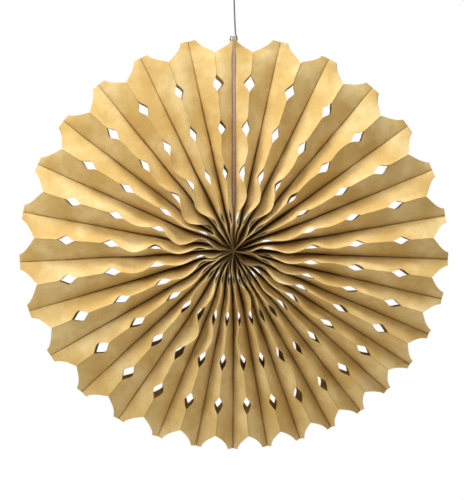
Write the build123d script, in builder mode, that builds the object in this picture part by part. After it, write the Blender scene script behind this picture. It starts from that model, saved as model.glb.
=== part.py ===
"""Paper fan medallion: a ring of closed, die-cut paper cells hung by a thread."""

import os
from math import asin, atan2, ceil, cos, exp, hypot, pi, radians, sin, sqrt, tan

from build123d import *

# Sizes in millimetres. Angles are in degrees, clockwise from the top, seen from the front.

cells = 30  # closed pleats round the fan, two glued leaves each
radius = 150.0  # hub axis to the petal ends
half_width = 18.3  # a leaf's centre line to either of its long edges
paper = 0.15  # thickness of a leaf
hub_radius = 2.0  # hub axis to the inner ends of the leaves
glue_width = 1.0  # bond between neighbouring cells, along their centre lines

# The die-cut long edge of a leaf
inner_notch = 23.4  # hub axis to the middle of the innermost notch
rim_margin = 32.7  # petal ends to the middle of the outermost notch
widest_notch_pitch = 36.0  # there are as many notches as this spacing asks for
notch_length = 12.3
notch_depth = 4.4
wavy_spans = 2  # spans between notches, counted from the hub, that stand out sideways
scallop_width = 11.0  # across the leaf, from its long edge to the petal end
scallop_drop = 10.8  # along the leaf, from the petal end to the long edge
scallop_depth = 1.3  # how far the scallop's arc cuts inside its chord

# How the cells share the circle: they crowd together low on the right and open high on the right
crowding = 0.30
crowding_angle = 144.0
crowding_spread_angle = 75.0
opening = 0.06
opening_angle = 45.0
opening_spread_angle = 35.0
seam_pitch = 0.92  # a cell beside the seam, as a share of the pitch
seam_ridge = 0.42  # its ridge, as a share of the way from the seam
settling_length = 25.0  # over this distance from the hub the valleys turn to their rim angles

# How the hanging fan gives way
fullness = 0.95  # share of its full depth that a cell keeps
least_depth = 2.5
lean = 9.0  # the lowest pleats fall back by this angle
lean_angle = 178.0
lean_sharpness = 2.0
lean_length = 12.0  # the hub stays upright over about this distance
gather = 9.0  # the lowest pleats are pushed in by this much
gather_length = 28.0  # and crumple over about this distance from the hub
sway_width = 7.0  # sideways stand of the wavy edges
sway_reach = 105.0  # hub axis to the end of the waves
sway_start = 25.0
sway_at_notch = 0.25
sway_unevenness = 0.2
sway_rhythm = 2.4

# The two end cards that close the ring, and the tape between them
card_thickness = 0.9
card_width = 14.0
card_clearance = 0.6  # the cards end this far outside the innermost notch's middle
tape_thickness = 0.8
tape_margin = 0.4  # the cards stand past both long edges of the tape by this much
tape_end_margin = 15.0  # and past its outer end by this much
hole_diameter = 2.0
hole_margin = 3.4  # card end to the middle of the hole
hole_sides = 8  # the punched hole has torn, faceted sides

# The hanging thread
thread_diameter = 1.1
thread_sides = 4  # the thin thread is drawn with flat sides
knot_sides = 8
thread_gap = 0.15  # between the thread and the leaf that it runs down
thread_offset = 0.75  # the thread leaves the cards to the right of the seam
thread_length = 35.0  # from the cards' end to the knot of the loop
knot_diameter = 2.6
knot_height = 2.2
knot_rounding = 0.18  # bevel of a knot's ends, as a share of its width
stop_knot_diameter = 1.8
stop_knot_drop = 0.8  # the stop knot hangs this far below the cards' end
thread_turn_rise = 2.3  # the thread turns in over the cards' end at this height
bend_share = 0.45  # share of the shorter run that an arc of the thread takes up
loop_length = 17.0
loop_foot = 0.62  # the loop's two legs stand this far from the middle of the knot
loop_straight = 2.4  # its legs rise this far side by side
loop_half_width = 6.2
loop_widest = 0.6  # place of the widest point, as a share of the loop's length
loop_top_half_width = 4.6

# Places worked out from the sizes
stack = card_thickness + tape_thickness / 2  # seam plane to the outer face of a card
longest_mitre = 40 * paper  # the joint of two leaves along a ridge is cut short at this length
hang_height = radius + thread_length + knot_height + loop_length
hub_height = -hang_height  # the origin is the point where the loop hangs
hole_height = radius - hole_margin
card_length = radius - inner_notch - card_clearance
tape_width = card_width - 2 * tape_margin
tape_length = card_length - tape_end_margin
notches = 1 + ceil((radius - rim_margin - inner_notch) / widest_notch_pitch)
notch_pitch = (radius - rim_margin - inner_notch) / (notches - 1)


def notch_middle(index):
    """Distance from the hub axis to a notch, counted from the hub."""
    return inner_notch + index * notch_pitch


def pleat_shares():
    """Share of the circle that each cell takes, round from the seam."""
    shares = []
    for number in range(cells):
        angle = 360 * (number + 0.5) / cells
        share = 1 - crowding * exp(-abs((angle - crowding_angle) / crowding_spread_angle) ** 3)
        share += opening * exp(-(((angle - opening_angle) / opening_spread_angle) ** 2))
        if number in (0, cells - 1):
            share *= seam_pitch
        shares.append(share)
    return [share / sum(shares) for share in shares]


def rim_angles():
    """Angle in radians of each valley at the rim, the seam's first and last."""
    angles = [0.0]
    for share in pleat_shares():
        angles.append(angles[-1] + 2 * pi * share)
    return angles


valley_rim_angles = rim_angles()


def seam_shift(distance):
    """How far the closing leaves stand off the seam plane to make room for the cards."""
    return stack * min(1.0, (distance - hub_radius) / (inner_notch - hub_radius))


def valley_angle(number, distance):
    """Angle of a valley, between cells number - 1 and number, at a distance from the hub."""
    even = 2 * pi * number / cells
    settled = 1 - exp(-((distance / settling_length) ** 2))
    angle = even + (valley_rim_angles[number] - even) * settled
    if number == 0:
        angle += asin(seam_shift(distance) / distance)
    if number == cells:
        angle -= asin(seam_shift(distance) / distance)
    return angle


def ridge_share(number):
    """Place of a cell's ridge between its two valleys."""
    if number == 0:
        return seam_ridge
    if number == cells - 1:
        return 1 - seam_ridge
    return 0.5


def ridge_sway(number, angle, distance):
    """Sideways stand of a cell's ridge: its own weight pulls it down, in waves between the notches."""
    wave = sin(pi * (distance - inner_notch) / notch_pitch) ** 2
    fade = max(0.0, 1 - distance / sway_reach) * min(1.0, (distance - hub_radius) / sway_start)
    pull = sin(angle) + sway_unevenness * sin(sway_rhythm * number)
    return sway_width * pull * fade * (sway_at_notch + (1 - sway_at_notch) * wave)


def cell_section(number, distance):
    """The cell across its length: angles of its valleys and ridge, and the depth of the ridge."""
    left = valley_angle(number, distance)
    right = valley_angle(number + 1, distance)
    share = ridge_share(number)
    middle = left + (right - left) * share
    wall = half_width - glue_width / 2
    reach = distance * (right - left) * max(share, 1 - share)
    depth = glue_width / 2 + fullness * sqrt(max(wall**2 - reach**2, least_depth**2))
    ridge = middle + ridge_sway(number, middle, distance) / distance
    return left, ridge, right, depth


def fall_back(distance, angle, depth):
    """Point of the hanging fan: the lower pleats lean back and gather towards the hub."""
    lowness = max(0.0, cos(angle - radians(lean_angle))) ** lean_sharpness
    tilt = radians(lean) * lowness
    eased = 1 - exp(-distance / lean_length)
    run = distance - lean_length * eased
    out = distance - (1 - cos(tilt)) * run
    back = sin(tilt) * run
    slope = atan2(sin(tilt) * eased, 1 - (1 - cos(tilt)) * eased)
    out -= depth * sin(slope)
    out -= gather * lowness * (1 - exp(-((distance / gather_length) ** 2)))
    back += depth * cos(slope)
    return Vector(out * sin(angle), back, hub_height + out * cos(angle))


def long_edge():
    """Die-cut long edge: distance from the hub axis and cut depth, from hub to petal end."""
    points = [(hub_radius, 0.0)]
    for index in range(notches):
        middle = notch_middle(index)
        points.append((middle - notch_length / 2, 0.0))
        points.append((middle, notch_depth))
        points.append((middle + notch_length / 2, 0.0))
        if index < wavy_spans:
            points.append((middle + notch_pitch / 2, 0.0))
    chord = hypot(scallop_drop, scallop_width)
    cusp = radius - scallop_drop
    hollow_along = scallop_depth * scallop_width / chord
    hollow_across = scallop_depth * scallop_drop / chord
    points.append((cusp, 0.0))
    points.append((cusp + scallop_drop / 2 - hollow_along, scallop_width / 2 + hollow_across))
    points.append((radius, scallop_width))
    return points


def crease_distances():
    """Where the crease beside the glue line takes a corner: it bends only along the wavy spans."""
    return [hub_radius, *[notch_middle(index) for index in range(wavy_spans)], radius]


def leaf_point(number, side, half_glue, distance, cut, face, end):
    """A corner of a leaf. Face 0 is its outside and 1 its inside; end -1 is the front and 1 the back."""
    left, ridge, right, depth = cell_section(number, distance)
    valley = left if side < 0 else right
    other = right if side < 0 else left
    across = distance * (valley - ridge)
    across_other = distance * (other - ridge)
    rise = depth - half_glue
    rise_other = depth - glue_width / 2
    if face:
        # The two leaves of a cell meet on the line that halves the angle between them
        lean_in = across / hypot(across, rise) + across_other / hypot(across_other, rise_other)
        run_in = rise / hypot(across, rise) + rise_other / hypot(across_other, rise_other)
        half_angle = atan2(abs(across - across_other) / 2, (rise + rise_other) / 2)
        mitre = min(paper / sin(half_angle), longest_mitre) / hypot(lean_in, run_in)
        ridge_point = (mitre * lean_in, depth - mitre * run_in)
        valley_point = (across + side * -paper, half_glue - paper)
    else:
        ridge_point = (0.0, depth)
        valley_point = (across, half_glue)
    along = (half_width - cut - half_glue) / (half_width - half_glue)
    offset = valley_point[0] + (ridge_point[0] - valley_point[0]) * along
    level = valley_point[1] + (ridge_point[1] - valley_point[1]) * along
    return fall_back(distance, ridge + offset / distance, end * level)


def flat_wall(half_glue):
    """Triangles of one wall of the flat leaf. A corner is its distance from the hub axis and its cut depth."""
    crease = [(distance, half_width - half_glue) for distance in reversed(crease_distances())]
    wall = Face(Wire.make_polygon([*long_edge(), *crease]))
    corners, triangles = wall.tessellate(paper)
    return [[(corners[index].X, corners[index].Y) for index in triangle] for triangle in triangles]


def quad(first, second, third, fourth):
    """A four-cornered strip of the sheet as two triangles."""
    return [(first, second, third), (first, third, fourth)]


def leaf_triangles(number, side):
    """All facets of one folded leaf, on the left (side -1) or the right (side 1) of its cell."""
    closing = (number, side) in ((0, -1), (cells - 1, 1))
    half_glue = (card_width if closing else glue_width) / 2
    edge = long_edge()
    creases = crease_distances()
    flat = flat_wall(half_glue)
    corners = {}
    for face in (0, 1):
        for end in (-1, 1):
            corners["edge", face, end] = [
                leaf_point(number, side, half_glue, distance, cut, face, end)
                for distance, cut in edge
            ]
            corners["crease", face, end] = [
                leaf_point(number, side, half_glue, distance, half_width - half_glue, face, end)
                for distance in creases
            ]
    triangles = []
    for face in (0, 1):
        sheet = []
        for end in (-1, 1):
            wall = [
                [leaf_point(number, side, half_glue, distance, cut, face, end) for distance, cut in triangle]
                for triangle in flat
            ]
            sheet += wall if end < 0 else [(a, c, b) for a, b, c in wall]
        front = corners["crease", face, -1]
        back = corners["crease", face, 1]
        for low in range(len(creases) - 1):
            sheet += quad(front[low], front[low + 1], back[low + 1], back[low])
        triangles += sheet if face == 0 else [(a, c, b) for a, b, c in sheet]
    for end in (-1, 1):
        outside = corners["edge", 0, end]
        inside = corners["edge", 1, end]
        rim = []
        for low in range(len(edge) - 1):
            rim += quad(outside[low + 1], outside[low], inside[low], inside[low + 1])
        for last, order in ((0, 1), (-1, -1)):
            cut = quad(
                corners["edge", 0, end][last],
                corners["crease", 0, end][last],
                corners["crease", 1, end][last],
                corners["edge", 1, end][last],
            )
            rim += cut if order > 0 else [(a, c, b) for a, b, c in cut]
        triangles += rim if end < 0 else [(a, c, b) for a, b, c in rim]
    for last, order in ((0, 1), (-1, -1)):
        cut = quad(
            corners["crease", 0, -1][last],
            corners["crease", 0, 1][last],
            corners["crease", 1, 1][last],
            corners["crease", 1, -1][last],
        )
        triangles += cut if order > 0 else [(a, c, b) for a, b, c in cut]
    return triangles


def leaf_solid(number, side):
    """One folded leaf as a closed solid of flat facets between its creases."""
    triangles = leaf_triangles(number, side)
    facets = [Face(Wire.make_polygon(corners)) for corners in triangles]
    return Solid(Shell(facets))


def make_leaf(number, side):
    """A leaf, with the thread's hole where it lies on an end card."""
    closing = (number, side) in ((0, -1), (cells - 1, 1))
    with BuildPart() as leaf:
        add(leaf_solid(number, side))
        if closing:
            with BuildSketch(Plane.YZ):
                with Locations((0, hub_height + hole_height)):
                    RegularPolygon(hole_diameter / 2, hole_sides)
            extrude(amount=2 * stack, both=True, mode=Mode.SUBTRACT)
    return leaf.part


def make_cells():
    """Each cell is two separate leaves that meet along its front and back ridges."""
    for number in range(cells):
        name = f"cell_{number + 1:02d}"
        cell = Compound(label=name, children=[make_leaf(number, side) for side in (-1, 1)])
        export_step(cell, f"parts/{name}.step")


def make_end_cards():
    """Two cards, one on each side of the seam, punched for the thread."""
    for name, side in (("end_card_left", -1), ("end_card_right", 1)):
        with BuildPart() as card:
            with BuildSketch(Plane.YZ.offset(side * tape_thickness / 2)):
                with Locations((0, hub_height + radius - card_length / 2)):
                    Rectangle(card_width, card_length)
                with Locations((0, hub_height + hole_height)):
                    RegularPolygon(hole_diameter / 2, hole_sides, mode=Mode.SUBTRACT)
            extrude(amount=side * card_thickness)
        card.part.label = name
        export_step(card.part, f"parts/{name}.step")


def make_tape():
    """Double-sided tape between the cards; it stops short of the hole."""
    with BuildPart() as tape:
        with BuildSketch(Plane.YZ.offset(-tape_thickness / 2)):
            with Locations((0, hub_height + radius - card_length + tape_length / 2)):
                Rectangle(tape_width, tape_length)
        extrude(amount=tape_thickness)
    tape.part.label = "seam_tape"
    export_step(tape.part, "parts/seam_tape.step")


def thread_radii(points):
    """The largest arc at each corner of a route that its two runs leave room for."""
    radii = []
    for before, corner, after in zip(points, points[1:], points[2:]):
        run_in = Vector(*corner) - Vector(*before)
        run_out = Vector(*after) - Vector(*corner)
        half_turn = radians(run_in.get_angle(run_out)) / 2
        radii.append(bend_share * min(run_in.length, run_out.length) / tan(half_turn))
    return radii


def make_thread_piece(name, points):
    """A length of thread along a route in the seam's plane across the fan, with round corners."""
    radii = thread_radii(points)
    with BuildPart() as piece:
        with BuildLine() as route:
            FilletPolyline(*points, radius=radii)
        path = route.wires()[0]
        with BuildSketch(Plane(origin=points[0], z_dir=path % 0)) as across:
            RegularPolygon(thread_diameter / 2, thread_sides)
        sweep(path=path)
    section = across.sketch.area
    print(name, "radii", [round(r, 2) for r in radii])
    print(name, "length", round(path.length, 2), "volume / section", round(piece.part.volume / section, 2))
    piece.part.label = name
    export_step(piece.part, f"parts/{name}.step")


def make_knot(name, x, bottom, diameter, height):
    """A small knot: a barrel with flat ends where the thread enters it."""
    with BuildPart() as knot:
        with BuildSketch(Plane.XY.offset(bottom)):
            with Locations((x, 0)):
                RegularPolygon(diameter / 2, knot_sides)
        extrude(amount=height)
        ends = knot.faces().sort_by(Axis.Z)
        chamfer(ends[0].edges() + ends[-1].edges(), length=knot_rounding * diameter)
    knot.part.label = name
    export_step(knot.part, f"parts/{name}.step")


def make_thread():
    """The thread runs through the hole in the cards, up, and ends in a knotted loop."""
    end = hub_height + radius
    hole = hub_height + hole_height
    beside = stack + paper + thread_gap + thread_diameter / 2
    stop_x = -(stack + paper + thread_gap + stop_knot_diameter / 2)
    knot_bottom = end + thread_length
    make_thread_piece(
        "hanging_thread",
        [
            (stop_x, 0, end - stop_knot_drop),
            (stop_x, 0, hole),
            (beside, 0, hole),
            (beside, 0, end),
            (thread_offset, 0, end + thread_turn_rise),
            (0, 0, knot_bottom),
        ],
    )
    make_knot("stop_knot", stop_x, end - stop_knot_drop, stop_knot_diameter, stop_knot_diameter)
    make_knot("loop_knot", 0, knot_bottom, knot_diameter, knot_height)
    loop_bottom = knot_bottom + knot_height
    loop_top = thread_diameter / 2
    side = [
        (loop_foot, 0, loop_bottom),
        (loop_foot, 0, loop_bottom + loop_straight),
        (loop_half_width, 0, loop_bottom + loop_widest * loop_length),
        (loop_top_half_width, 0, loop_top),
    ]
    make_thread_piece("hanging_loop", [(-x, y, z) for x, y, z in side] + side[::-1])


os.makedirs("parts", exist_ok=True)
make_cells()
make_end_cards()
make_tape()
make_thread()
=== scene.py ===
import math
import bpy
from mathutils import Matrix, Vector, noise


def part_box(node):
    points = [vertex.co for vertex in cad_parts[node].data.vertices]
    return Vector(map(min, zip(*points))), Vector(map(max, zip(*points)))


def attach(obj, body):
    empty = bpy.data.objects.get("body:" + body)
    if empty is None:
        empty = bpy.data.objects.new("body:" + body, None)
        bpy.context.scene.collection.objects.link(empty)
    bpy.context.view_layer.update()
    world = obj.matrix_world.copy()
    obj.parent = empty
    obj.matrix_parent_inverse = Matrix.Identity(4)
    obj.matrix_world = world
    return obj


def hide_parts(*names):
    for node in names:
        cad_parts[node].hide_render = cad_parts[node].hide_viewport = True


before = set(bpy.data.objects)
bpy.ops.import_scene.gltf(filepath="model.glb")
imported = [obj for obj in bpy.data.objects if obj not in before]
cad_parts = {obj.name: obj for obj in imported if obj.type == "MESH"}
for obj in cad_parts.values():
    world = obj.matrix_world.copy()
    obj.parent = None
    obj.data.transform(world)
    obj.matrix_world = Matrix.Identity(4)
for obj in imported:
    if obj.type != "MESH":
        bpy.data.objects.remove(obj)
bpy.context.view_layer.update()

# Lengths in metres. Angles in degrees, clockwise from the top, seen from the front
millimetre = 0.001
creaseAngle = math.radians(35)  # edges sharper than this stay sharp in the shading
fan = {
    "cells": 30,
    "radius": 0.150,
    "halfWidth": 0.0183,  # of a flat leaf
    "hubRadius": 0.0001,  # the leaves run in to here
    "glueWidth": 0.0010,
    "cardWidth": 0.014,  # the closing leaves are glued flat over this width
    "crowding": 0.30,  # how the cells share the circle
    "crowdingAngle": 144.0,
    "crowdingSpread": 75.0,
    "opening": 0.06,
    "openingAngle": 45.0,
    "openingSpread": 35.0,
    "seamPitch": 0.92,
    "seamRidge": 0.42,
    "settlingLength": 0.025,
}
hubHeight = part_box("end_card_left")[1].z - fan["radius"]

# The die-cut long edge of a leaf
dieCut = {
    "innerNotch": 0.0234,
    "rimMargin": 0.0327,
    "notches": 4,
    "notchLength": 0.0131,
    "notchDepth": 0.0044,
    "notchRounding": 0.20,
    "scallopWidth": 0.0110,
    "scallopDrop": 0.0108,
    "scallopDepth": 0.0018,
    "columnStep": 0.0019,
    "scallopStep": 0.0009,
    "mapScale": 10,  # of the flat leaf's UV map, to the metre
    # rows of the blank, from the glued band (0) to the die-cut edge (1)
    "rows": [0, 0.025, 0.055, 0.09, 0.14, 0.21, 0.30, 0.42, 0.55, 0.68, 0.79, 0.88, 0.94, 0.975, 1],
}
notchPitch = (fan["radius"] - dieCut["rimMargin"] - dieCut["innerNotch"]) / (dieCut["notches"] - 1)

# How the hanging fan gives way
hang = {
    "fullness": 0.947,
    "leastDepth": 0.0025,
    "lean": 9.0,
    "leanAngle": 178.0,
    "leanSharpness": 2.0,
    "leanLength": 0.012,
    "gather": 0.00905,
    "gatherLength": 0.028,
    "notchSway": 0.00175,
    "swayReach": 0.105,
    "swayStart": 0.025,
    "hubWaveShare": 0.5,  # of its first wave that a cell keeps inside the innermost hole
    # sideways stand of each cell's long edges in mm, clockwise from the seam, hub side first
    "hubWaves": [4.8, 5.4, 5.4, 0.3, 0.2, 2.7, 3.5, 3, 3, 4, 2.5, 3, 1, -1.5, -4.2]
    + [0.7, -1, -0.8, -2.5, 2.4, -1.4, -2.8, -2.7, -3.8, -6.2, -2.5, -7.5, -5.9, 1.4, 0],
    "middleWaves": {0: 2.5, 2: 1.5, 3: -1, 5: 1.5, 6: 2, 7: -1.5, 8: 1.5, 10: 2, 15: 3.4, 17: -3.3}
    | {18: -5.9, 21: -0.8, 22: -3.2, 23: -4.6, 24: -2.5, 26: -2.5, 27: -4.4, 29: -1.5},
    "outerWaves": {3: -2, 13: -3.4},
}

# The paper itself
paper = {
    "thickness": 0.00016,
    "edgeGap": 0.00009,  # ridge line to a leaf's outer face, less than the paper is thick
    "valleyPinch": 0.38,  # walls part slowly from the glued band
    "hubPinch": 2.8,  # and more slowly near the hub, by this many times
    "hubPinchLength": 0.072,
    "ridgePinch": 0.16,  # and meet slowly at the ridge, but not low on the fan
    "lowRidgePinch": 0.008,
    "pinchBias": 0.25,  # where on the fan's height the change lies, and how steep it is
    "pinchFall": 1.2,
    "ridgeWander": 0.0005,
    "depthWander": 0.0005,
    "valleyWander": 0.00022,
    "wanderPace": 38,
    "wanderFrom": 0.03,  # from the hub to here the wandering grows to its full size
    "buckle": 0.0009,  # soft dents in the walls
    "buckleFrom": 0.06,
    "dentPace": (62, 75),
    "hubDip": 0.34,  # the edges sink in at the hub by this share of their depth, more or less
    "hubDipMess": 0.45,
    "hubDipLength": 0.011,
    "hubStray": 0.0046,  # sideways mess of the edges between the hub and the first notch
    "strayMiddle": 0.015,
    "strayReach": 0.008,
    "strayPace": 60,
    "hubUneven": 0.0048,  # and in depth
    "unevenMiddle": 0.018,
    "unevenReach": 0.020,
    "unevenBias": 0.5,
    "unevenPace": 45,
    "backStray": 0.0034,  # the back's edges stand aside here, so most inner holes are closed off
    "backStrayLength": 0.030,
    "backLeast": 0.45,
    "backMore": 0.8,
    "openInside": (0, 1, 5, 6, 10, 11, 22, 25),  # cells whose innermost hole lets the light through
    "backShift": {12: 3.0, 13: 3.2, 18: 3.4, 19: 1.8, 29: -2.3},  # mm, along the outer holes
    "backSway": 1.7,  # mm, more or less, along every cell's outer holes
    "backPace": 14,
    "backShiftFrom": 0.034,
    "backShiftTo": 0.125,
    "backShiftFade": 0.02,
}

# The end cards carry the closing leaves, with tape between them up to where they are pinched
seam = {
    "stack": 0.0013,  # seam plane to a card's outer face
    "foot": 0.024,
    "footSqueeze": 0.78,  # the cards are squeezed thin at their foot by this share
    "footLength": 0.012,
    "closeFrom": 0.0205,  # below the cards the closing leaves meet
    "closeLength": 0.003,
    "tapeTop": 0.136,
    "tapeRise": 0.0028,  # the squeezed foam reaches this much higher
    "footDrop": 0.0020,  # cards and tape reach this much lower, where the leaves meet
    "pinch": 0.00037,
    "pinchLength": 0.0045,
    "holeHeight": 0.1466,
    "holeDiameter": 0.002,
    "holeSides": 24,
    "punchLength": 0.02,
    "softening": 0.00012,
    "cuts": 12,  # along each stretch that is pinched or squeezed
}


def smooth(share):
    share = min(1.0, max(0.0, share))
    return share * share * (3 - 2 * share)


def nearness(place, middle, reach, power=2):
    # 1 at the middle, fading to 0 over about the reach
    return math.exp(-(abs((place - middle) / reach) ** power))


def risen(distance, reach):
    # 0 at the hub, 1 from the reach outwards
    return min(1.0, distance / reach)


def unevenness(*place):
    # From -1 to 1 and the same in each run. The factors of a cell's number only tell cells apart
    return noise.noise(Vector(place))


def squeezedFoot(distance):
    return 1 - seam["footSqueeze"] * (1 - smooth((distance - seam["foot"]) / seam["footLength"]))


def pinchedShare(height):
    return smooth((height - seam["tapeTop"]) / seam["pinchLength"])


def cardFace(distance):
    # Seam plane to the face that a closing leaf lies on
    thick = seam["stack"] * squeezedFoot(distance) - seam["pinch"] * pinchedShare(distance)
    return thick * smooth((distance - seam["closeFrom"]) / seam["closeLength"])


def backStray(number, distance):
    # How far the back's edges stand aside of the front's, along the outer holes and near the hub
    outside = smooth((distance - paper["backShiftFrom"]) / paper["backShiftFade"])
    outside *= 1 - smooth((distance - paper["backShiftTo"]) / paper["backShiftFade"])
    sway = paper["backSway"] * unevenness(number * 3.7, 2.1, distance * paper["backPace"])
    outside *= (paper["backShift"].get(number, 0.0) + sway) * millimetre
    if number in paper["openInside"]:
        return outside
    aside = unevenness(number * 2.9, 7.7, 1.3)
    aside = math.copysign(paper["backLeast"] + paper["backMore"] * abs(aside), aside)
    near = nearness(distance, dieCut["innerNotch"], paper["backStrayLength"])
    return outside + paper["backStray"] * aside * near * risen(distance, dieCut["innerNotch"])


def notchMiddle(index):
    return dieCut["innerNotch"] + index * notchPitch


def cutDepth(distance):
    for index in range(dieCut["notches"]):
        away = abs(distance - notchMiddle(index)) / (dieCut["notchLength"] / 2)
        if away < 1:
            rounding = dieCut["notchRounding"]
            peak = math.hypot(1, rounding)
            return dieCut["notchDepth"] * (peak - math.hypot(away, rounding)) / (peak - rounding)
    along = (distance - fan["radius"] + dieCut["scallopDrop"]) / dieCut["scallopDrop"]
    if along > 0:
        return dieCut["scallopWidth"] * along + 4 * dieCut["scallopDepth"] * along * (1 - along)
    return 0.0


def pleatShares():
    shares = []
    for number in range(fan["cells"]):
        angle = 360 * (number + 0.5) / fan["cells"]
        share = 1 - fan["crowding"] * nearness(angle, fan["crowdingAngle"], fan["crowdingSpread"], power=3)
        share += fan["opening"] * nearness(angle, fan["openingAngle"], fan["openingSpread"])
        if number in (0, fan["cells"] - 1):
            share *= fan["seamPitch"]
        shares.append(share)
    return [share / sum(shares) for share in shares]


valleyRimAngles = [0.0]
for pleatShare in pleatShares():
    valleyRimAngles.append(valleyRimAngles[-1] + 2 * math.pi * pleatShare)


def wander(distance, number, size, seed):
    # A slow, uneven stray
    return size * unevenness(distance * paper["wanderPace"], number * 3.71, seed)


def valleyAngle(number, distance):
    even = 2 * math.pi * number / fan["cells"]
    settled = 1 - nearness(distance, 0, fan["settlingLength"])
    angle = even + (valleyRimAngles[number] - even) * settled
    shift = math.asin(min(1.0, cardFace(distance) / distance))
    if number == 0:
        return angle + shift
    if number == fan["cells"]:
        return angle - shift
    stray = wander(distance, number, paper["valleyWander"], 5.0) * risen(distance, paper["wanderFrom"])
    return angle + stray / distance


def ridgeSway(number, angle, distance):
    fade = max(0.0, 1 - distance / hang["swayReach"]) * risen(distance, hang["swayStart"])
    sway = hang["notchSway"] * math.sin(angle) * fade
    span = math.floor((distance - dieCut["innerNotch"]) / notchPitch)
    wave = math.sin(math.pi * (distance - dieCut["innerNotch"]) / notchPitch) ** 2 * millimetre
    if span < 0:
        wave *= hang["hubWaveShare"] * distance / dieCut["innerNotch"]
        return sway + hang["hubWaves"][number] * wave
    if span == 0:
        return sway + hang["hubWaves"][number] * wave
    if span == 1:
        return sway + hang["middleWaves"].get(number, 0) * wave
    if span == 2:
        return sway + hang["outerWaves"].get(number, 0) * wave
    return sway


def cellSection(number, distance):
    left = valleyAngle(number, distance)
    right = valleyAngle(number + 1, distance)
    share = 0.5
    if number == 0:
        share = fan["seamRidge"]
    if number == fan["cells"] - 1:
        share = 1 - fan["seamRidge"]
    middle = left + (right - left) * share
    wall = fan["halfWidth"] - fan["glueWidth"] / 2
    reach = distance * (right - left) * max(share, 1 - share)
    height = math.sqrt(max(wall**2 - reach**2, hang["leastDepth"] ** 2))
    depth = fan["glueWidth"] / 2 + hang["fullness"] * height
    ridge = middle + ridgeSway(number, middle, distance) / distance
    return left, ridge, right, depth


def fallBack(distance, angle, depth):
    facing = max(0.0, math.cos(angle - math.radians(hang["leanAngle"])))
    lowness = facing ** hang["leanSharpness"]
    tilt = math.radians(hang["lean"]) * lowness
    eased = 1 - math.exp(-distance / hang["leanLength"])
    run = distance - hang["leanLength"] * eased
    out = distance - (1 - math.cos(tilt)) * run
    back = math.sin(tilt) * run
    slope = math.atan2(math.sin(tilt) * eased, 1 - (1 - math.cos(tilt)) * eased)
    out -= depth * math.sin(slope)
    out -= hang["gather"] * lowness * (1 - nearness(distance, 0, hang["gatherLength"]))
    back += depth * math.cos(slope)
    return Vector((out * math.sin(angle), back, hubHeight + out * math.cos(angle)))


def wallCurve(along, distance, angle):
    # Sideways share of the way from the glued band to the ridge
    pinch = paper["valleyPinch"] * (1 + paper["hubPinch"] * nearness(distance, 0, paper["hubPinchLength"]))
    share = along**2 / (along + pinch) * (1 + pinch)
    left = 1 - share
    high = 1 - smooth(paper["pinchBias"] - paper["pinchFall"] * math.cos(angle))
    pinch = paper["ridgePinch"] * high + paper["lowRidgePinch"]
    return 1 - left**2 / (left + pinch) * (1 + pinch)


def edgeDepth(number, distance, end, depth):
    # The long edges sink in near the hub. end is -1 at the front and 1 at the back
    nearHub = nearness(distance, 0, paper["hubDipLength"])
    depth *= 1 - nearHub * (paper["hubDip"] + paper["hubDipMess"] * unevenness(number * 1.7, end, 3.3))
    depth += wander(distance, number, paper["depthWander"], 11.0 + end)
    uneven = nearness(distance, paper["unevenMiddle"], paper["unevenReach"])
    sunk = paper["unevenBias"] + unevenness(number * 4.1, end * 3, distance * paper["unevenPace"])
    return depth - paper["hubUneven"] * uneven * max(0.0, sunk)


def edgeStray(number, distance, end):
    # How far the long edges stand aside, besides their waves
    stray = wander(distance, number, paper["ridgeWander"], 1.0 + end) * risen(distance, paper["wanderFrom"])
    mess = nearness(distance, paper["strayMiddle"], paper["strayReach"])
    stray += paper["hubStray"] * mess * unevenness(number * 5.3, end * 2, distance * paper["strayPace"])
    if end > 0:
        stray += backStray(number, distance)
    return stray


def foldedPoint(number, side, distance, level):
    # level runs across the flat leaf, from its front edge, below 0, to its back edge
    closing = (number, side) in ((0, -1), (fan["cells"] - 1, 1))
    halfGlue = (fan["cardWidth"] if closing else fan["glueWidth"]) / 2
    left, ridge, right, depth = cellSection(number, distance)
    away = distance * ((left if side < 0 else right) - ridge)
    if abs(level) <= halfGlue:
        return fallBack(distance, ridge + away / distance, level)
    end = -1 if level < 0 else 1
    depth = edgeDepth(number, distance, end, depth)
    edge = side * paper["edgeGap"] + edgeStray(number, distance, end)
    along = (abs(level) - halfGlue) / (fan["halfWidth"] - halfGlue)
    share = wallCurve(along, distance, ridge)
    outPace, acrossPace = paper["dentPace"]
    dent = unevenness(distance * outPace, level * acrossPace + side * 4, number * 2.3)
    dent *= paper["buckle"] * math.sin(math.pi * along) * risen(distance, paper["buckleFrom"])
    offset = away * (1 - share) + dent + edge * share
    return fallBack(distance, ridge + offset / distance, end * (halfGlue + (depth - halfGlue) * along))


def newMaterial(name):
    material = bpy.data.materials.new(name)
    material.use_nodes = True
    nodes = material.node_tree.nodes
    return material, nodes, material.node_tree.links, nodes["Principled BSDF"]


def addNode(nodes, kind, **sockets):
    node = nodes.new(kind)
    for name, value in sockets.items():
        node.inputs[name].default_value = value
    return node


def mathNode(nodes, operation):
    node = nodes.new("ShaderNodeMath")
    node.operation = operation
    return node


def colourRamp(nodes, *stops):
    ramp = nodes.new("ShaderNodeValToRGB")
    elements = ramp.color_ramp.elements
    while len(elements) < len(stops):
        elements.new(0.5)
    for element, (place, colour) in zip(elements, stops):
        element.position = place
        element.color = (*colour, 1)
    return ramp


def mapRange(nodes, fromLow, fromHigh, toLow, toHigh):
    node = nodes.new("ShaderNodeMapRange")
    node.interpolation_type = "SMOOTHSTEP"
    node.inputs["From Min"].default_value = fromLow
    node.inputs["From Max"].default_value = fromHigh
    node.inputs["To Min"].default_value = toLow
    node.inputs["To Max"].default_value = toHigh
    return node


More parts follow.
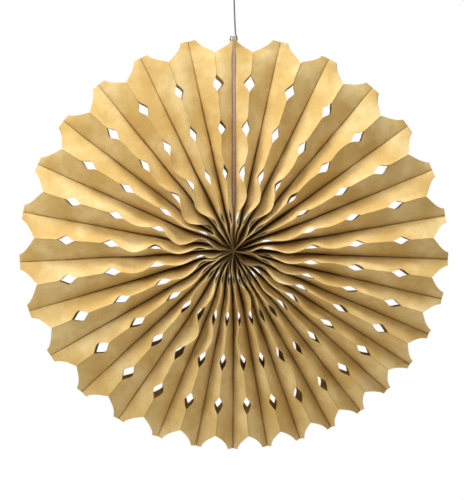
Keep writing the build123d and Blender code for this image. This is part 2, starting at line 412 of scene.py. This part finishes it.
def mixTo(nodes, colour):
    # A mix node's own colour sockets are its inputs 6 and 7 and its output 2
    mix = nodes.new("ShaderNodeMix")
    mix.data_type = "RGBA"
    mix.inputs[7].default_value = (*colour, 1)
    return mix.inputs[0], mix.inputs[6], mix.outputs[2]


# Gold kraft paper, and its paler cut edge
gold = {
    "deep": (0.555, 0.363, 0.118),
    "middle": (0.62, 0.430, 0.165),
    "pale": (0.70, 0.525, 0.240),
    "edge": (0.72, 0.57, 0.29),
    "tones": (0.52, 0.65, 0.79),  # where the deep, middle and pale paper lie in the noise
    # dark colour of the glue lines, also used as painted shade in the valley creases and towards the hub
    "glueAndShade": (0.15, 0.075, 0.014),
    "glueAndShadeFull": 0.0004,  # level up to which the glue line, with its painted crease shade, is full
    "glueAndShadeReach": 0.0036,  # and at which it has gone
    "glueAndShadeShare": 0.96,
    "spreadFrom": 0.012,  # between these distances the glue line and its painted shade narrow from the hub to the rim
    "spreadTo": 0.145,
    "hubNarrowing": 0.18,
    "rimNarrowing": 1.6,
    "roughness": 0.55,
    "gloss": 0.12,
    "hubPaintedShade": 0.72,  # painted shade, darker towards the hub, by this share
    "hubPaintedShadeReach": 0.027,
    "ridgeGlueAndShadow": (0.50, 0.335, 0.11),  # glue line and painted shadow along the outer ridges
    "ridgeLineShare": 0.8,
    "ridgeLineFrom": 0.1135,
    "ridgeLineFade": 0.003,
    "ridgeLineWidth": 0.0003,
    "ridgeLineSoft": 0.00075,
    "cloudScale": 40.0,
    "fibreScale": 950.0,
    "fibreShare": 0.30,
    "crumpleScale": 85.0,
    "crumple": 0.0016,
}
cutPaper = {
    "fibreScale": 1400.0,
    "tones": (0.3, 0.7),
    "shade": 0.8,  # painted shade, darker towards the hub, by this share, between these distances
    "shadeFrom": 0.004,
    "shadeTo": 0.018,
    "ridgeLineShare": 0.85,
    "ridgeLineEndFade": 0.001,
    "roughness": 0.9,
    "gloss": 0.05,
}


def mapDistance(nodes, fromDistance, toDistance, toLow, toHigh):
    # mapRange over metres of the flat leaf, along or across it
    scale = dieCut["mapScale"]
    return mapRange(nodes, fromDistance * scale, toDistance * scale, toLow, toHigh)


def ridgeLineStart(nodes, share):
    start = gold["ridgeLineFrom"]
    return mapDistance(nodes, start, start + gold["ridgeLineFade"], 0.0, share)


def makeGoldPaper():
    material, nodes, links, shader = newMaterial("goldPaper")
    place = nodes.new("ShaderNodeTexCoord")
    flat = nodes.new("ShaderNodeUVMap")  # along and across the flat leaf
    cloud = addNode(nodes, "ShaderNodeTexNoise", Scale=gold["cloudScale"], Detail=3.0, Roughness=0.6)
    fibre = addNode(nodes, "ShaderNodeTexNoise", Scale=gold["fibreScale"], Detail=2.0, Roughness=0.7)
    crumple = addNode(nodes, "ShaderNodeTexNoise", Scale=gold["crumpleScale"], Detail=2.0, Roughness=0.45)
    blend = mathNode(nodes, "MULTIPLY_ADD")
    blend.inputs[1].default_value = gold["fibreShare"]
    ramp = colourRamp(nodes, *zip(gold["tones"], (gold["deep"], gold["middle"], gold["pale"])))
    split = nodes.new("ShaderNodeSeparateXYZ")
    level = mathNode(nodes, "ABSOLUTE")
    # glue line along the valleys, with painted shade in the creases that spreads over the walls towards the
    # hub
    valleyGlueAndShade = mapDistance(nodes, gold["glueAndShadeFull"], gold["glueAndShadeReach"], gold["glueAndShadeShare"], 0.0)
    spread = mapDistance(
        nodes, gold["spreadFrom"], gold["spreadTo"], gold["hubNarrowing"], gold["rimNarrowing"]
    )
    climb = mathNode(nodes, "MULTIPLY")
    # painted shade towards the hub, where the folds lie deep
    shade = mapDistance(nodes, 0.0, gold["hubPaintedShadeReach"], gold["hubPaintedShade"], 0.0)
    # glue line and painted shadow along the outer ridges
    ridgeSoft = fan["halfWidth"] - gold["ridgeLineSoft"]
    ridgeFull = fan["halfWidth"] - gold["ridgeLineWidth"]
    ridgeLevel = mapDistance(nodes, ridgeSoft, ridgeFull, 0.0, gold["ridgeLineShare"])
    ridgeOut = ridgeLineStart(nodes, 1.0)
    ridgeGlueAndShadow = mathNode(nodes, "MULTIPLY")
    shadeFactor, shadeFrom, shadeOut = mixTo(nodes, gold["glueAndShade"])
    ridgeFactor, ridgeFrom, ridgeMixed = mixTo(nodes, gold["ridgeGlueAndShadow"])
    mixFactor, mixFrom, mixed = mixTo(nodes, gold["glueAndShade"])
    fineBump = addNode(nodes, "ShaderNodeBump", Strength=0.2, Distance=0.0001)
    softBump = addNode(nodes, "ShaderNodeBump", Strength=0.5, Distance=gold["crumple"])
    for texture in (cloud, fibre, crumple):
        links.new(place.outputs["Object"], texture.inputs["Vector"])
    links.new(fibre.outputs["Fac"], blend.inputs[0])
    links.new(cloud.outputs["Fac"], blend.inputs[2])
    links.new(blend.outputs["Value"], ramp.inputs["Fac"])
    links.new(flat.outputs["UV"], split.inputs["Vector"])
    links.new(split.outputs["Y"], level.inputs[0])
    links.new(split.outputs["X"], spread.inputs["Value"])
    links.new(level.outputs["Value"], climb.inputs[0])
    links.new(spread.outputs["Result"], climb.inputs[1])
    links.new(climb.outputs["Value"], valleyGlueAndShade.inputs["Value"])
    links.new(split.outputs["X"], shade.inputs["Value"])
    links.new(split.outputs["X"], ridgeOut.inputs["Value"])
    links.new(level.outputs["Value"], ridgeLevel.inputs["Value"])
    links.new(ridgeLevel.outputs["Result"], ridgeGlueAndShadow.inputs[0])
    links.new(ridgeOut.outputs["Result"], ridgeGlueAndShadow.inputs[1])
    links.new(shade.outputs["Result"], shadeFactor)
    links.new(ramp.outputs["Color"], shadeFrom)
    links.new(ridgeGlueAndShadow.outputs["Value"], ridgeFactor)
    links.new(shadeOut, ridgeFrom)
    links.new(valleyGlueAndShade.outputs["Result"], mixFactor)
    links.new(ridgeMixed, mixFrom)
    links.new(mixed, shader.inputs["Base Color"])
    links.new(crumple.outputs["Fac"], softBump.inputs["Height"])
    links.new(fibre.outputs["Fac"], fineBump.inputs["Height"])
    links.new(softBump.outputs["Normal"], fineBump.inputs["Normal"])
    links.new(fineBump.outputs["Normal"], shader.inputs["Normal"])
    shader.inputs["Roughness"].default_value = gold["roughness"]
    shader.inputs["Specular IOR Level"].default_value = gold["gloss"]
    return material


def makeCutEdge():
    material, nodes, links, shader = newMaterial("paperCutEdge")
    place = nodes.new("ShaderNodeTexCoord")
    flat = nodes.new("ShaderNodeUVMap")
    split = nodes.new("ShaderNodeSeparateXYZ")
    fibre = addNode(nodes, "ShaderNodeTexNoise", Scale=cutPaper["fibreScale"], Detail=2.0)
    ramp = colourRamp(nodes, *zip(cutPaper["tones"], (gold["pale"], gold["edge"])))
    # painted shade on the cut edges towards the hub
    shade = mapDistance(nodes, cutPaper["shadeFrom"], cutPaper["shadeTo"], cutPaper["shade"], 0.0)
    # glue line and painted shadow along the outer ridges, on the cut edges too
    ridgeOut = ridgeLineStart(nodes, cutPaper["ridgeLineShare"])
    scallopStart = fan["radius"] - dieCut["scallopDrop"]
    ridgeEnd = mapDistance(nodes, scallopStart - cutPaper["ridgeLineEndFade"], scallopStart, 1.0, 0.0)
    ridgeGlueAndShadow = mathNode(nodes, "MULTIPLY")
    shadeFactor, shadeFrom, shadeOut = mixTo(nodes, gold["glueAndShade"])
    ridgeFactor, ridgeFrom, ridgeMixed = mixTo(nodes, gold["ridgeGlueAndShadow"])
    links.new(place.outputs["Object"], fibre.inputs["Vector"])
    links.new(fibre.outputs["Fac"], ramp.inputs["Fac"])
    links.new(flat.outputs["UV"], split.inputs["Vector"])
    for node in (shade, ridgeOut, ridgeEnd):
        links.new(split.outputs["X"], node.inputs["Value"])
    links.new(ridgeOut.outputs["Result"], ridgeGlueAndShadow.inputs[0])
    links.new(ridgeEnd.outputs["Result"], ridgeGlueAndShadow.inputs[1])
    links.new(shade.outputs["Result"], shadeFactor)
    links.new(ramp.outputs["Color"], shadeFrom)
    links.new(ridgeGlueAndShadow.outputs["Value"], ridgeFactor)
    links.new(shadeOut, ridgeFrom)
    links.new(ridgeMixed, shader.inputs["Base Color"])
    shader.inputs["Roughness"].default_value = cutPaper["roughness"]
    shader.inputs["Specular IOR Level"].default_value = cutPaper["gloss"]
    return material


goldPaper = makeGoldPaper()
cutEdge = makeCutEdge()


def leafColumns():
    # Distances from the hub for the blank's columns, with one on every corner of the cut edge
    corners = [fan["hubRadius"]]
    for index in range(dieCut["notches"]):
        middle = notchMiddle(index)
        corners += [middle - dieCut["notchLength"] / 2, middle, middle + dieCut["notchLength"] / 2]
    corners += [fan["radius"] - dieCut["scallopDrop"], fan["radius"]]
    columns = [corners[0]]
    for low, high in zip(corners, corners[1:]):
        step = dieCut["scallopStep"] if high == fan["radius"] else dieCut["columnStep"]
        steps = max(1, round((high - low) / step))
        columns += [low + (high - low) * turn / steps for turn in range(1, steps + 1)]
    return columns


def makeLeafBlank():
    # One flat die-cut leaf: distance from the hub along X, level across along Y
    columns = leafColumns()
    rows = [-row for row in reversed(dieCut["rows"])] + dieCut["rows"]
    bpy.ops.object.select_all(action="DESELECT")
    bpy.ops.mesh.primitive_grid_add(x_subdivisions=len(columns) - 1, y_subdivisions=len(rows) - 1, size=2)
    blank = bpy.context.object
    blank.name = "leafBlank"
    halfGlue = fan["glueWidth"] / 2
    for corner in blank.data.vertices:
        distance = columns[round((corner.co.x + 1) / 2 * (len(columns) - 1))]
        place = round((corner.co.y + 1) / 2 * (len(rows) - 1))
        end = -1 if place < len(rows) / 2 else 1
        reach = fan["halfWidth"] - cutDepth(distance) - halfGlue
        corner.co = Vector((distance, end * (halfGlue + abs(rows[place]) * reach), 0))
    layer = blank.data.uv_layers.active
    for loop in blank.data.loops:
        flat = blank.data.vertices[loop.vertex_index].co
        layer.data[loop.index].uv = (flat.x * dieCut["mapScale"], flat.y * dieCut["mapScale"])
    blank.data.materials.append(goldPaper)
    blank.data.materials.append(cutEdge)
    return blank


def settlePiece(piece, node):
    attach(piece, "root")
    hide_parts(node)


def makeLeaf(blank, number, side):
    bpy.ops.object.select_all(action="DESELECT")
    blank.select_set(True)
    bpy.context.view_layer.objects.active = blank
    bpy.ops.object.duplicate()
    leaf = bpy.context.object
    for corner in leaf.data.vertices:
        corner.co = foldedPoint(number, side, corner.co.x, corner.co.y)
    if side > 0:
        bpy.ops.object.mode_set(mode="EDIT")
        bpy.ops.mesh.select_all(action="SELECT")
        bpy.ops.mesh.flip_normals()
        bpy.ops.object.mode_set(mode="OBJECT")
    thicken = leaf.modifiers.new("paperThickness", "SOLIDIFY")
    thicken.thickness = paper["thickness"]
    thicken.offset = -1
    thicken.material_offset_rim = 1
    bpy.ops.object.modifier_apply(modifier=thicken.name)
    return leaf


def makeCell(blank, number):
    leaves = [makeLeaf(blank, number, side) for side in (-1, 1)]
    bpy.ops.object.select_all(action="DESELECT")
    for leaf in leaves:
        leaf.select_set(True)
    bpy.context.view_layer.objects.active = leaves[0]
    bpy.ops.object.join()
    cell = bpy.context.object
    cell.name = f"paperCell_{number + 1:02d}"
    bpy.ops.object.shade_smooth_by_angle(angle=creaseAngle)
    settlePiece(cell, f"cell_{number + 1:02d}")
    return cell


leafBlank = makeLeafBlank()
paperCells = [makeCell(leafBlank, number) for number in range(fan["cells"])]
bpy.data.objects.remove(leafBlank)
print("paper cells made:", len(paperCells), "with", len(paperCells[1].data.polygons), "faces each")

# Cards and tape: dark brown board, pinkish brown foam
board = {
    "grainScale": 1100.0,
    "foamScale": 700.0,
    "tones": (0.35, 0.68),
    "roughness": 0.85,
    "core": (0.30, 0.185, 0.115),
    "fleck": (0.42, 0.27, 0.17),
    "tape": (0.66, 0.50, 0.41),
    "tapeShade": (0.52, 0.37, 0.29),
}


def makeBoard(name, dark, light, scale):
    material, nodes, links, shader = newMaterial(name)
    place = nodes.new("ShaderNodeTexCoord")
    grain = addNode(nodes, "ShaderNodeTexNoise", Scale=scale, Detail=4.0)
    ramp = colourRamp(nodes, *zip(board["tones"], (dark, light)))
    bump = addNode(nodes, "ShaderNodeBump", Strength=0.3, Distance=0.0002)
    links.new(place.outputs["Object"], grain.inputs["Vector"])
    links.new(grain.outputs["Fac"], ramp.inputs["Fac"])
    links.new(ramp.outputs["Color"], shader.inputs["Base Color"])
    links.new(grain.outputs["Fac"], bump.inputs["Height"])
    links.new(bump.outputs["Normal"], shader.inputs["Normal"])
    shader.inputs["Roughness"].default_value = board["roughness"]
    return material


boardMaterial = makeBoard("endCardBoard", board["core"], board["fleck"], board["grainScale"])
tapeMaterial = makeBoard("seamTapeFoam", board["tapeShade"], board["tape"], board["foamScale"])


def makeStrip(name, low, high):
    # A plain strip, cut across where it is pinched or squeezed, so that it can thin out there
    bpy.ops.object.select_all(action="DESELECT")
    bpy.ops.mesh.primitive_cube_add(size=1, location=(low + high) / 2, scale=high - low)
    strip = bpy.context.object
    strip.name = name
    bpy.ops.object.transform_apply(location=True, rotation=True, scale=True)
    cuts = seam["cuts"]
    heights = [seam["tapeTop"] + seam["pinchLength"] * cut / cuts for cut in range(cuts + 1)]
    heights += [seam["foot"] + seam["footLength"] * cut / cuts for cut in range(1, cuts + 1)]
    bpy.ops.object.mode_set(mode="EDIT")
    for height in heights:
        bpy.ops.mesh.select_all(action="SELECT")
        bpy.ops.mesh.bisect(plane_co=(0, 0, hubHeight + height), plane_no=(0, 0, 1))
    bpy.ops.object.mode_set(mode="OBJECT")
    return strip


def makeTape():
    # Foam tape that thins out where the cards are pinched together
    low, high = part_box("seam_tape")
    low.z -= seam["footDrop"]
    high.z += seam["tapeRise"]
    tape = makeStrip("seamTape", low, high)
    for corner in tape.data.vertices:
        height = corner.co.z - hubHeight
        corner.co.x *= squeezedFoot(height) * (1 - pinchedShare(height))
    tape.data.materials.append(tapeMaterial)
    settlePiece(tape, "seam_tape")


def makeCard(name, node, side):
    low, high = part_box(node)
    low.z -= seam["footDrop"]
    card = makeStrip(name, low, high)
    bpy.ops.mesh.primitive_cylinder_add(
        vertices=seam["holeSides"],
        radius=seam["holeDiameter"] / 2,
        depth=seam["punchLength"],
        location=(0, 0, hubHeight + seam["holeHeight"]),
        rotation=(0, math.radians(90), 0),
    )
    punch = bpy.context.object
    hole = card.modifiers.new("threadHole", "BOOLEAN")
    hole.operation = "DIFFERENCE"
    hole.object = punch
    soften = card.modifiers.new("softEdges", "BEVEL")
    soften.width = seam["softening"]
    soften.segments = 2
    soften.limit_method = "ANGLE"
    bpy.ops.object.select_all(action="DESELECT")
    card.select_set(True)
    bpy.context.view_layer.objects.active = card
    bpy.ops.object.modifier_apply(modifier=hole.name)
    bpy.ops.object.modifier_apply(modifier=soften.name)
    bpy.data.objects.remove(punch)
    for corner in card.data.vertices:
        height = corner.co.z - hubHeight
        corner.co.x *= squeezedFoot(height)
        corner.co.x -= side * seam["pinch"] * pinchedShare(height)
    bpy.ops.object.shade_smooth_by_angle(angle=creaseAngle)
    card.data.materials.append(boardMaterial)
    settlePiece(card, node)


makeCard("endCardLeft", "end_card_left", -1)
makeCard("endCardRight", "end_card_right", 1)
makeTape()
print("end cards and tape finished")

# The hanging thread, its loop and their knots
thread = {
    "diameter": 0.0011,
    "route": [
        (-0.0025, 0, -0.0550),
        (-0.0025, 0, -0.0576),
        (0.00215, 0, -0.0576),
        (0.00215, 0, -0.0542),
        (0.00075, 0, -0.0519),
        (0, 0, -0.0192),
    ],
    "length": 0.0448,
    "loopSide": [(0.00062, 0, -0.0170), (0.00062, 0, -0.0146), (0.0062, 0, -0.0068), (0.0046, 0, 0.00055)],
    "loopLength": 0.0451,
    "knotPull": 0.0005,  # the stop knot is pulled up against the card
    "stopKnotShare": 0.62,  # of its box, which it doesn't fill
    "knotTurns": ((24, 0, -0.28), (-28, 70, 0.0), (20, 140, 0.28)),  # lean, turn and lift of each
    "turnRadius": 0.26,  # of the knot's height, as the lift and the thickness are
    "turnThickness": 0.22,
    "dark": (0.10, 0.095, 0.09),
    "light": (0.24, 0.23, 0.22),
    "tones": (0.2, 0.8),
    "twist": {"Scale": 620.0, "Distortion": 2.0, "Detail": 2.0},
    "roughness": 0.9,
}


def makeThreadMaterial():
    material, nodes, links, shader = newMaterial("greyThread")
    place = nodes.new("ShaderNodeTexCoord")
    twist = addNode(nodes, "ShaderNodeTexWave", **thread["twist"])
    twist.bands_direction = "DIAGONAL"
    ramp = colourRamp(nodes, *zip(thread["tones"], (thread["dark"], thread["light"])))
    bump = addNode(nodes, "ShaderNodeBump", Strength=0.6, Distance=0.0002)
    links.new(place.outputs["Object"], twist.inputs["Vector"])
    links.new(twist.outputs["Fac"], ramp.inputs["Fac"])
    links.new(ramp.outputs["Color"], shader.inputs["Base Color"])
    links.new(twist.outputs["Fac"], bump.inputs["Height"])
    links.new(bump.outputs["Normal"], shader.inputs["Normal"])
    shader.inputs["Roughness"].default_value = thread["roughness"]
    return material


def makeThreadLine(name, route, node):
    line = bpy.data.curves.new(name, "CURVE")
    line.dimensions = "3D"
    line.bevel_depth = thread["diameter"] / 2
    line.bevel_resolution = 3
    line.resolution_u = 14
    line.use_fill_caps = True
    run = line.splines.new("NURBS")
    run.points.add(len(route) - 1)
    for point, place in zip(run.points, route):
        point.co = (*place, 1)
    run.order_u = 3
    run.use_endpoint_u = True
    piece = bpy.data.objects.new(name, line)
    bpy.context.collection.objects.link(piece)
    piece.data.materials.append(threadMaterial)
    settlePiece(piece, node)
    return piece


def makeKnot(name, node, middle, size):
    # Three turns of thread laid over each other, as in an overhand knot
    turns = []
    for lean, turn, lift in thread["knotTurns"]:
        bpy.ops.object.select_all(action="DESELECT")
        bpy.ops.mesh.primitive_torus_add(
            location=(middle[0], middle[1], middle[2] + lift * size),
            rotation=(math.radians(lean), 0, math.radians(turn)),
            major_segments=28,
            minor_segments=12,
            major_radius=size * thread["turnRadius"],
            minor_radius=size * thread["turnThickness"],
        )
        turns.append(bpy.context.object)
    for turnOfThread in turns:
        turnOfThread.select_set(True)
    bpy.ops.object.join()
    bpy.ops.object.transform_apply(location=True, rotation=True, scale=True)
    bpy.ops.object.shade_smooth()
    knot = bpy.context.object
    knot.name = name
    knot.data.materials.append(threadMaterial)
    settlePiece(knot, node)
    return knot


threadMaterial = makeThreadMaterial()
stopLow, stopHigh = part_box("stop_knot")
knotLow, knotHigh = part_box("loop_knot")
stopMiddle = (stopLow + stopHigh) / 2 + Vector((thread["knotPull"], 0, 0))
stopSize = thread["stopKnotShare"] * (stopHigh - stopLow).z
stopKnot = makeKnot("stopKnot", "stop_knot", stopMiddle, stopSize)
loopKnot = makeKnot("loopKnot", "loop_knot", (knotLow + knotHigh) / 2, (knotHigh - knotLow).z)
hangingThread = makeThreadLine("hangingThread", thread["route"], "hanging_thread")
loopRoute = [(-x, y, z) for x, y, z in thread["loopSide"]] + thread["loopSide"][::-1]
hangingLoop = makeThreadLine("hangingLoop", loopRoute, "hanging_loop")
print("thread, loop and knots made")

# Floor, light and camera
studio = {
    "floorHeight": -0.535,
    "floorSize": 3.2,
    "floorGlow": 0.55,
    "floorColours": ((0.84, 0.84, 0.84), (0.88, 0.88, 0.88)),
    "floorTones": (0.3, 0.7),
    "floorRoughness": 0.9,
    "skyStrength": 0.12,
    "lamps": {  # place, watts and size, all aimed at the hub
        "topLamp": ((-0.22, -0.25, 0.70), 6.9, 0.30),
        "leftLamp": ((-0.56, -0.38, 0.16), 3.8, 0.40),
        "rightLamp": ((0.36, -0.36, 0.46), 2.7, 0.40),
        "frontLamp": ((0, -1.0, 0.30), 1.2, 0.50),
        "backLamp": ((0.25, 0.80, 0.45), 5.0, 0.70),
    },
    "cameraDistance": 2.0,
    "sensorWidth": 36.0,  # in millimetres, as Blender counts it
    "viewHeight": 0.3501,  # height of the picture where the fan hangs
    "cameraAside": -0.00126,
    "cameraLift": 0.0007,
}


def makeFloor():
    bpy.ops.object.select_all(action="DESELECT")
    bpy.ops.mesh.primitive_plane_add(size=studio["floorSize"], location=(0, 0, studio["floorHeight"]))
    floor = bpy.context.object
    floor.name = "paleFloor"
    material, nodes, links, shader = newMaterial("paleFloor")
    place = nodes.new("ShaderNodeTexCoord")
    cloud = addNode(nodes, "ShaderNodeTexNoise", Scale=3.0, Detail=2.0)
    ramp = colourRamp(nodes, *zip(studio["floorTones"], studio["floorColours"]))
    links.new(place.outputs["Object"], cloud.inputs["Vector"])
    links.new(cloud.outputs["Fac"], ramp.inputs["Fac"])
    links.new(ramp.outputs["Color"], shader.inputs["Base Color"])
    shader.inputs["Roughness"].default_value = studio["floorRoughness"]
    # The camera sees the floor pale, with the shadow kept
    ray = nodes.new("ShaderNodeLightPath")
    seen = mathNode(nodes, "MULTIPLY")
    seen.inputs[1].default_value = studio["floorGlow"]
    links.new(ray.outputs["Is Camera Ray"], seen.inputs[0])
    links.new(seen.outputs["Value"], shader.inputs["Emission Strength"])
    shader.inputs["Emission Color"].default_value = (1, 1, 1, 1)
    floor.data.materials.append(material)


def makeSky():
    world = bpy.data.worlds.new("paleStudio")
    world.use_nodes = True
    nodes = world.node_tree.nodes
    links = world.node_tree.links
    nodes.clear()
    ray = nodes.new("ShaderNodeLightPath")
    glossy = mathNode(nodes, "MAXIMUM")
    seen = mathNode(nodes, "MAXIMUM")
    strength = nodes.new("ShaderNodeMapRange")
    strength.inputs["To Min"].default_value = studio["skyStrength"]
    strength.inputs["To Max"].default_value = 1.0
    sky = nodes.new("ShaderNodeBackground")
    sky.inputs["Color"].default_value = (1, 1, 1, 1)
    output = nodes.new("ShaderNodeOutputWorld")
    links.new(ray.outputs["Is Glossy Ray"], glossy.inputs[0])
    links.new(ray.outputs["Is Transmission Ray"], glossy.inputs[1])
    links.new(ray.outputs["Is Camera Ray"], seen.inputs[0])
    links.new(glossy.outputs["Value"], seen.inputs[1])
    links.new(seen.outputs["Value"], strength.inputs["Value"])
    links.new(strength.outputs["Result"], sky.inputs["Strength"])
    links.new(sky.outputs["Background"], output.inputs["Surface"])
    bpy.context.scene.world = world


def makeLamp(name, place, power, size):
    bpy.ops.object.light_add(type="AREA", location=place)
    lamp = bpy.context.object
    lamp.name = name
    lamp.data.energy = power
    lamp.data.size = size
    aim = Vector((0, 0, hubHeight)) - Vector(place)
    lamp.rotation_euler = aim.to_track_quat("-Z", "Y").to_euler()


def makeCamera():
    place = (studio["cameraAside"], -studio["cameraDistance"], hubHeight + studio["cameraLift"])
    bpy.ops.object.camera_add(location=place, rotation=(math.radians(90), 0, 0))
    camera = bpy.context.object
    camera.data.sensor_width = studio["sensorWidth"]
    camera.data.lens = camera.data.sensor_width * studio["cameraDistance"] / studio["viewHeight"]
    bpy.context.scene.camera = camera


makeFloor()
makeSky()
for lampName, (lampPlace, lampPower, lampSize) in studio["lamps"].items():
    makeLamp(lampName, lampPlace, lampPower, lampSize)
makeCamera()
bpy.context.scene.view_settings.view_transform = "Standard"
print("floor, light and camera set")
